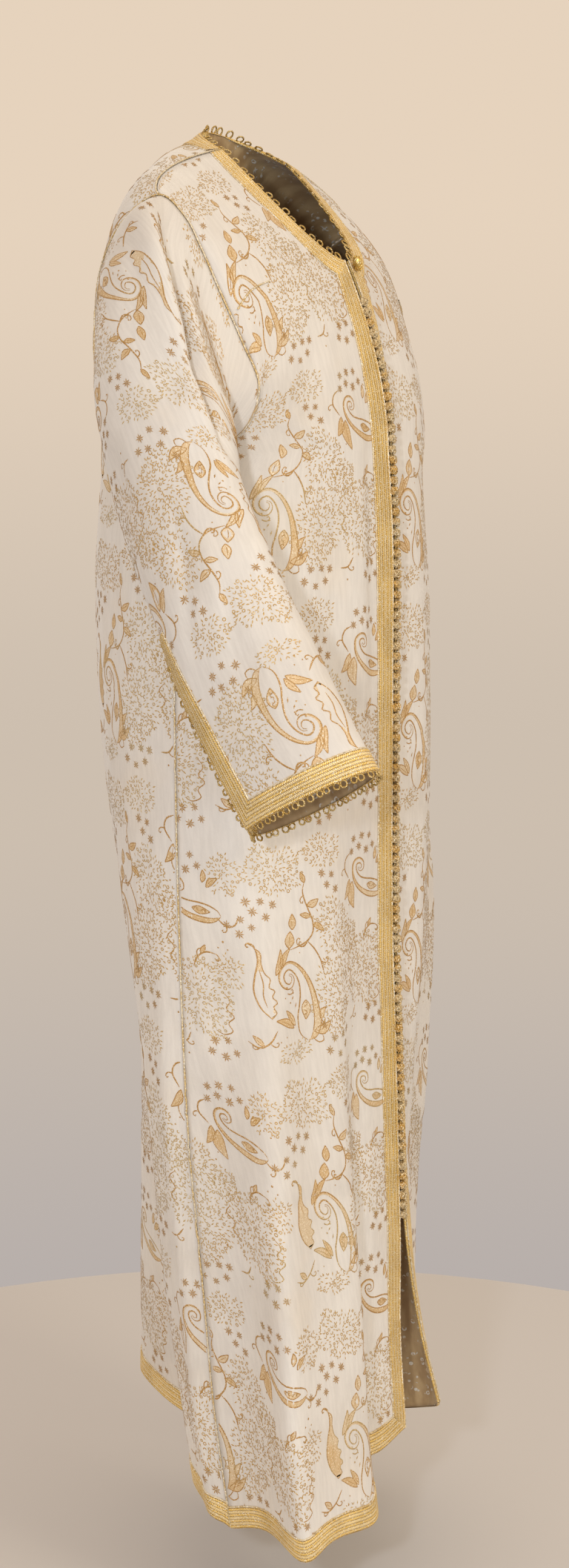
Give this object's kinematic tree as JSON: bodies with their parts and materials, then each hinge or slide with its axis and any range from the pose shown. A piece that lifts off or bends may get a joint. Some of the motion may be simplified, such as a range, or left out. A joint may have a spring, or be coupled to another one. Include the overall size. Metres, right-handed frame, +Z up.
{
  "type": "kaftan",
  "caption": "Long open-front kaftan of figured ivory brocade with gold braid, a knotted front fastening and long slit sleeves, worn and hollow.",
  "frame": {"origin": "inside the neck, level with the neck points where the garment hangs on the wearer's shoulders", "axes": "+Z up, the front towards -Y, the wearer's left towards +X"},
  "size_m": [0.6185, 0.4479, 1.457],
  "materials": {
    "ivory_brocade": "satin brocade, ivory with tan-gold and silver figures",
    "gold_braid": "flat woven gold braid with a soft metallic shine",
    "gold_thread": "wound silver-gold metallic thread"
  },
  "bodies": {
    "root": {"back": "ivory_brocade", "front_right": "ivory_brocade", "front_left": "ivory_brocade", "sleeve_right": "ivory_brocade", "sleeve_left": "ivory_brocade", "edge_braid_right": "gold_braid", "edge_braid_left": "gold_braid", "hem_braid_back": "gold_braid", "neck_braid_back": "gold_braid", "cuff_braid_right": "gold_braid", "cuff_braid_left": "gold_braid", "front_knots": "gold_thread", "neck_button": "gold_thread"}
  },
  "joints": []
}
